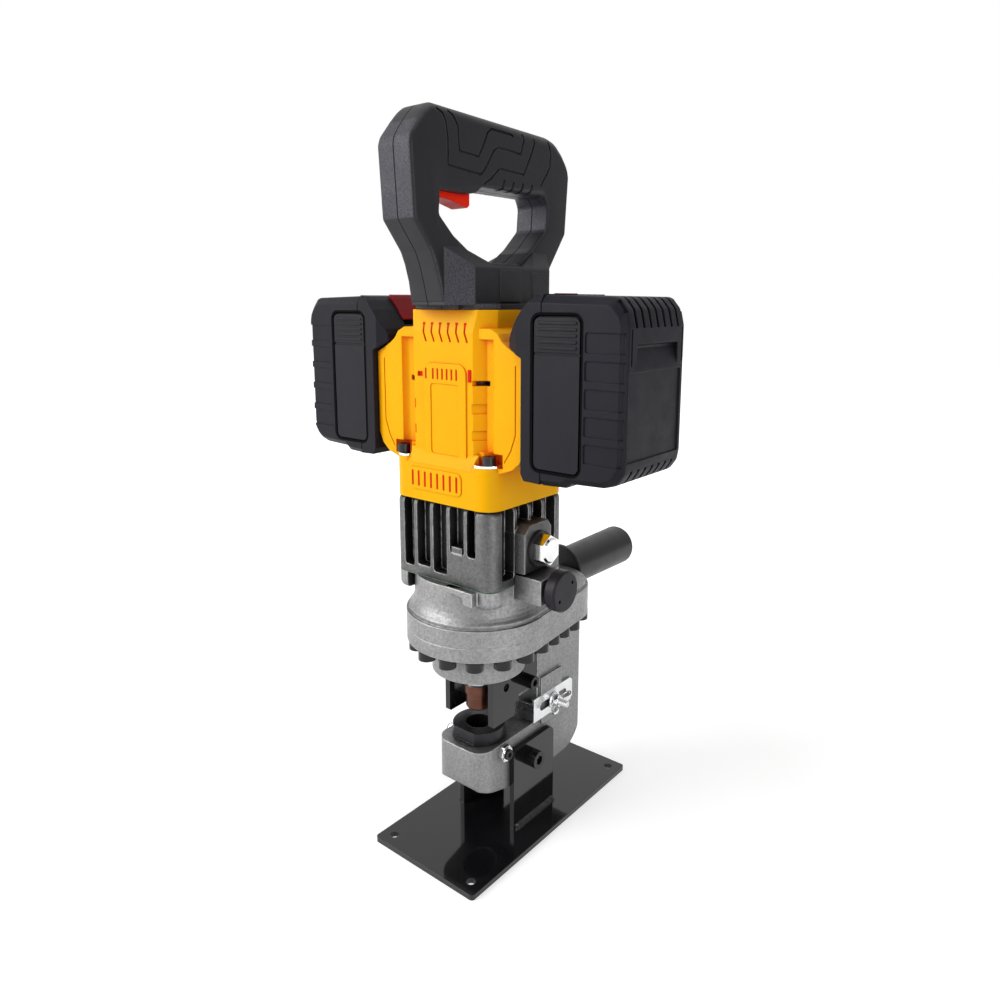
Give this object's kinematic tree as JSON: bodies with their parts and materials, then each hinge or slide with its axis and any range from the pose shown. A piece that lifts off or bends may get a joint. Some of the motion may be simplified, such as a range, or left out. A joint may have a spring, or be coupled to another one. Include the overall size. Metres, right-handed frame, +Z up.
{
  "type": "hydraulic hole puncher",
  "caption": "Cordless hydraulic hole puncher: C-shaped frame on a drilled base plate, geared pump and motor above, battery packs on both sides, D-handle and side handle.",
  "frame": {"origin": "centre of the four base holes, on the underside of the base plate", "axes": "+Z up along the punch and the motor, -Y towards the open side of the jaw, X from battery to battery"},
  "size_m": [0.2866, 0.2785, 0.5328],
  "materials": {
    "black_paint": "gloss",
    "black_steel": "satin",
    "silver_casting": "satin",
    "fin_casting": "satin",
    "die_steel": "satin",
    "punch_steel": "satin",
    "steel": "satin",
    "spring_steel": "satin",
    "stainless": "satin",
    "chrome": "polished",
    "bearing_steel": "polished",
    "seal": "matt",
    "grip_rubber": "matt",
    "dark_knob": "satin",
    "yellow_shell": "satin",
    "black_shell": "matt",
    "battery_case": "matt",
    "button_red": "satin",
    "trigger_red": "satin",
    "red_liner": "satin",
    "inner_plastic": "matt",
    "cell_wrap": "gloss",
    "copper": "satin",
    "brass": "satin",
    "carbon": "matt"
  },
  "bodies": {
    "frame": {"base_plate": "black_paint", "bracket_bolts": "black_steel", "c_frame": "silver_casting", "die": "die_steel", "die_lock_screws": "black_steel", "die_lock_nuts": "chrome", "return_spring": "spring_steel", "stripper_fork": "black_paint", "fork_bolts": "black_steel", "stop_stud": "chrome", "pump_body": "silver_casting", "flange_bolts": "black_steel", "oil_plug": "chrome", "plug_seal": "seal", "gear_housing": "fin_casting", "side_stud": "steel", "side_grip": "grip_rubber", "housing_front": "yellow_shell", "housing_rear": "yellow_shell", "housing_screws": "black_steel", "screw_washers": "chrome", "vent_liner": "red_liner", "motor_stator": "steel", "motor_bearings": "bearing_steel", "pump_bearings": "bearing_steel", "pump_plungers": "bearing_steel", "gear_cover": "fin_casting", "brushes": "carbon", "brush_holders": "brass", "handle_left": "black_shell", "handle_right": "black_shell", "handle_screws": "steel", "trigger_spring": "spring_steel", "switch_body": "inner_plastic"},
    "ram": {"piston": "steel", "piston_seal": "seal", "punch_nut": "steel", "punch": "punch_steel"},
    "motor_shaft": {"rotor": "steel", "commutator": "copper", "fan": "inner_plastic"},
    "lay_gears": {"layshaft": "steel"},
    "pump_crank": {"output_shaft": "steel", "eccentric_bearing": "bearing_steel"},
    "release": {"release_knob": "dark_knob", "release_valve": "steel"},
    "gauge_nut": {"wing_nut": "chrome"},
    "gauge": {"stop_gauge": "stainless"},
    "trigger_body": {"trigger": "trigger_red"},
    "battery_right": {"battery_base_right": "black_shell", "battery_shell_right": "battery_case", "battery_clips_right": "battery_case", "battery_cells_right": "cell_wrap"},
    "button_right": {"battery_button_right": "button_red"},
    "battery_left": {"battery_base_left": "black_shell", "battery_shell_left": "battery_case", "battery_clips_left": "battery_case", "battery_cells_left": "cell_wrap"},
    "button_left": {"battery_button_left": "button_red"}
  },
  "joints": [
    {"name": "ram_slide", "type": "slide", "parent": "frame", "child": "ram", "axis": [0, 0, -1], "range_m": [0, 0.017], "stiffness_N_per_m": 8000, "springref_m": -0.01, "deforming": ["return_spring"]},
    {"name": "motor_spin", "type": "hinge", "parent": "frame", "child": "motor_shaft", "pos_m": [0, -0.035, 0.32], "axis": [0, 0, 1], "continuous": true},
    {"name": "layshaft_spin", "type": "hinge", "parent": "frame", "child": "lay_gears", "pos_m": [0.014, -0.021, 0.24], "axis": [0, 0, 1], "continuous": true},
    {"name": "crank_spin", "type": "hinge", "parent": "frame", "child": "pump_crank", "pos_m": [0, -0.035, 0.21], "axis": [0, 0, 1], "continuous": true},
    {"name": "release_turn", "type": "hinge", "parent": "frame", "child": "release", "pos_m": [0.072, -0.037, 0.215], "axis": [1, 0, 0], "range_deg": [0, 270]},
    {"name": "wing_nut_turn", "type": "hinge", "parent": "frame", "child": "gauge_nut", "pos_m": [0.0263, 0.026, 0.091], "axis": [1, 0, 0], "range_deg": [0, 360]},
    {"name": "stop_slide", "type": "slide", "parent": "frame", "child": "gauge", "axis": [0, -1, 0], "range_m": [0, 0.014]},
    {"name": "trigger_pull", "type": "slide", "parent": "frame", "child": "trigger_body", "axis": [0, 0, 1], "range_m": [0, 0.005], "stiffness_N_per_m": 800, "springref_m": -0.004, "deforming": ["trigger_spring"]},
    {"name": "battery_right_lift", "type": "slide", "parent": "frame", "child": "battery_right", "axis": [0, 0, 1], "range_m": [0, 0.11]},
    {"name": "button_right_press", "type": "slide", "parent": "battery_right", "child": "button_right", "axis": [0, 0, -1], "range_m": [0, 0.004], "stiffness_N_per_m": 800, "springref_m": -0.004},
    {"name": "battery_left_lift", "type": "slide", "parent": "frame", "child": "battery_left", "axis": [0, 0, 1], "range_m": [0, 0.11]},
    {"name": "button_left_press", "type": "slide", "parent": "battery_left", "child": "button_left", "axis": [0, 0, -1], "range_m": [0, 0.004], "stiffness_N_per_m": 800, "springref_m": -0.004}
  ],
  "couplings": [
    {"joint": "layshaft_spin", "follows": "motor_spin", "ratio": -0.46667},
    {"joint": "crank_spin", "follows": "motor_spin", "ratio": 0.1957}
  ]
}
